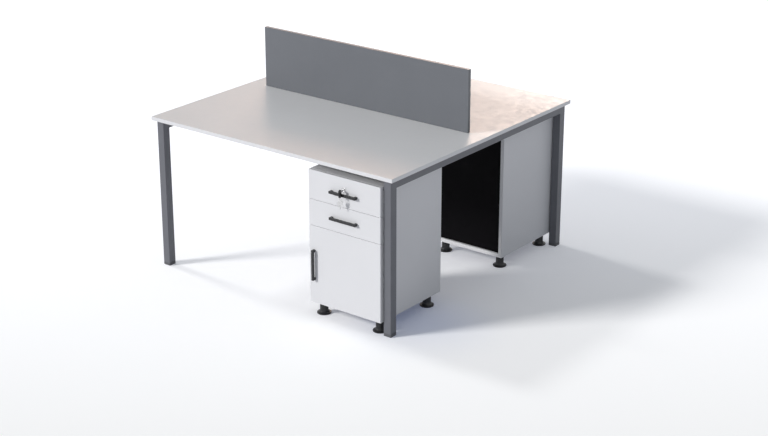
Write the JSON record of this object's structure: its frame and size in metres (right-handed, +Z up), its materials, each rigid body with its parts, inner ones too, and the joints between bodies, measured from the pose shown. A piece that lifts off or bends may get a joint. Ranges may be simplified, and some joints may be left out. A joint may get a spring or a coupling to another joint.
{
  "type": "benching desk for two",
  "caption": "Face-to-face office desk with white worktops on grey portal frames, a grey dividing screen and white pedestals with drawers, a door and levelling feet.",
  "frame": {"origin": "on the floor under the middle of the whole set, 12 mm in front of the line where the worktops meet", "axes": "+X along the worktops' length toward the pedestals, -Y toward the front user, +Z up"},
  "size_m": [1.4, 1.4406, 1.036],
  "materials": {
    "melamine_white": "white melamine-faced board",
    "drawer_white": "white foil-faced board",
    "screen_grey": "mid-grey melamine-faced board",
    "back_black": "black-faced board",
    "frame_grey": "satin grey powder coat",
    "shoe_grey": "moulded grey plastic",
    "black_plastic": "moulded black plastic",
    "bare_steel": "zinc-plated steel",
    "chrome": "bright nickel plate"
  },
  "bodies": {
    "desk": {"worktop_front": "melamine_white", "worktop_rear": "melamine_white", "privacy_screen": "screen_grey", "screen_stud_plate_left": "bare_steel", "end_frame_left": "frame_grey", "leg_shoe_front_left": "shoe_grey", "leg_shoe_rear_left": "shoe_grey", "screen_stud_plate_right": "bare_steel", "end_frame_right": "frame_grey", "leg_shoe_front_right": "shoe_grey", "leg_shoe_rear_right": "shoe_grey", "beam_front": "frame_grey", "beam_rear": "frame_grey", "front_pedestal_side_left": "melamine_white", "front_pedestal_side_right": "melamine_white", "front_pedestal_top": "melamine_white", "front_pedestal_bottom": "melamine_white", "front_pedestal_back": "back_black", "front_pedestal_upper_slide_left": "bare_steel", "front_pedestal_upper_slide_right": "bare_steel", "front_pedestal_lower_slide_left": "bare_steel", "front_pedestal_lower_slide_right": "bare_steel", "rear_pedestal_side_left": "melamine_white", "rear_pedestal_side_right": "melamine_white", "rear_pedestal_top": "melamine_white", "rear_pedestal_bottom": "melamine_white", "rear_pedestal_back": "back_black", "rear_pedestal_upper_slide_left": "bare_steel", "rear_pedestal_upper_slide_right": "bare_steel", "rear_pedestal_lower_slide_left": "bare_steel", "rear_pedestal_lower_slide_right": "bare_steel"},
    "front_pedestal_upper_drawer": {"front_pedestal_upper_drawer_front": "melamine_white", "front_pedestal_upper_drawer_box": "drawer_white", "front_pedestal_upper_drawer_handle": "black_plastic", "front_pedestal_lock_barrel": "chrome"},
    "front_pedestal_lower_drawer": {"front_pedestal_lower_drawer_front": "melamine_white", "front_pedestal_lower_drawer_box": "drawer_white", "front_pedestal_lower_drawer_handle": "black_plastic"},
    "front_pedestal_door": {"front_pedestal_door": "melamine_white", "front_pedestal_door_handle": "black_plastic"},
    "front_pedestal_key": {"front_pedestal_key": "chrome", "front_pedestal_spare_key": "chrome"},
    "front_pedestal_foot_front_left": {"front_pedestal_foot_front_left": "black_plastic"},
    "front_pedestal_foot_front_right": {"front_pedestal_foot_front_right": "black_plastic"},
    "front_pedestal_foot_rear_left": {"front_pedestal_foot_rear_left": "black_plastic"},
    "front_pedestal_foot_rear_right": {"front_pedestal_foot_rear_right": "black_plastic"},
    "rear_pedestal_upper_drawer": {"rear_pedestal_upper_drawer_front": "melamine_white", "rear_pedestal_upper_drawer_box": "drawer_white", "rear_pedestal_upper_drawer_handle": "black_plastic", "rear_pedestal_lock_barrel": "chrome"},
    "rear_pedestal_lower_drawer": {"rear_pedestal_lower_drawer_front": "melamine_white", "rear_pedestal_lower_drawer_box": "drawer_white", "rear_pedestal_lower_drawer_handle": "black_plastic"},
    "rear_pedestal_door": {"rear_pedestal_door": "melamine_white", "rear_pedestal_door_handle": "black_plastic"},
    "rear_pedestal_key": {"rear_pedestal_key": "chrome"},
    "rear_pedestal_foot_front_left": {"rear_pedestal_foot_front_left": "black_plastic"},
    "rear_pedestal_foot_front_right": {"rear_pedestal_foot_front_right": "black_plastic"},
    "rear_pedestal_foot_rear_left": {"rear_pedestal_foot_rear_left": "black_plastic"},
    "rear_pedestal_foot_rear_right": {"rear_pedestal_foot_rear_right": "black_plastic"}
  },
  "joints": [
    {"name": "front_pedestal_upper_drawer_slide", "type": "slide", "parent": "desk", "child": "front_pedestal_upper_drawer", "axis": [0, -1, 0], "range_m": [0, 0.28]},
    {"name": "front_pedestal_lower_drawer_slide", "type": "slide", "parent": "desk", "child": "front_pedestal_lower_drawer", "axis": [0, -1, 0], "range_m": [0, 0.28]},
    {"name": "front_pedestal_door_hinge", "type": "hinge", "parent": "desk", "child": "front_pedestal_door", "pos_m": [0.637, -0.685, 0.2455], "axis": [0, 0, 1], "range_deg": [0, 100]},
    {"name": "front_pedestal_key_turn", "type": "hinge", "parent": "front_pedestal_upper_drawer", "child": "front_pedestal_key", "pos_m": [0.44, -0.6883, 0.634], "axis": [0, -1, 0], "range_deg": [0, 90]},
    {"name": "front_pedestal_foot_front_left_level", "type": "slide", "parent": "desk", "child": "front_pedestal_foot_front_left", "axis": [0, 0, -1], "range_m": [0, 0.01]},
    {"name": "front_pedestal_foot_front_right_level", "type": "slide", "parent": "desk", "child": "front_pedestal_foot_front_right", "axis": [0, 0, -1], "range_m": [0, 0.01]},
    {"name": "front_pedestal_foot_rear_left_level", "type": "slide", "parent": "desk", "child": "front_pedestal_foot_rear_left", "axis": [0, 0, -1], "range_m": [0, 0.01]},
    {"name": "front_pedestal_foot_rear_right_level", "type": "slide", "parent": "desk", "child": "front_pedestal_foot_rear_right", "axis": [0, 0, -1], "range_m": [0, 0.01]},
    {"name": "rear_pedestal_upper_drawer_slide", "type": "slide", "parent": "desk", "child": "rear_pedestal_upper_drawer", "axis": [0, 1, 0], "range_m": [0, 0.28]},
    {"name": "rear_pedestal_lower_drawer_slide", "type": "slide", "parent": "desk", "child": "rear_pedestal_lower_drawer", "axis": [0, 1, 0], "range_m": [0, 0.28]},
    {"name": "rear_pedestal_door_hinge", "type": "hinge", "parent": "desk", "child": "rear_pedestal_door", "pos_m": [0.243, 0.685, 0.2455], "axis": [0, 0, 1], "range_deg": [0, 100]},
    {"name": "rear_pedestal_key_turn", "type": "hinge", "parent": "rear_pedestal_upper_drawer", "child": "rear_pedestal_key", "pos_m": [0.44, 0.6883, 0.634], "axis": [0, 1, 0], "range_deg": [0, 90]},
    {"name": "rear_pedestal_foot_front_left_level", "type": "slide", "parent": "desk", "child": "rear_pedestal_foot_front_left", "axis": [0, 0, -1], "range_m": [0, 0.01]},
    {"name": "rear_pedestal_foot_front_right_level", "type": "slide", "parent": "desk", "child": "rear_pedestal_foot_front_right", "axis": [0, 0, -1], "range_m": [0, 0.01]},
    {"name": "rear_pedestal_foot_rear_left_level", "type": "slide", "parent": "desk", "child": "rear_pedestal_foot_rear_left", "axis": [0, 0, -1], "range_m": [0, 0.01]},
    {"name": "rear_pedestal_foot_rear_right_level", "type": "slide", "parent": "desk", "child": "rear_pedestal_foot_rear_right", "axis": [0, 0, -1], "range_m": [0, 0.01]}
  ]
}
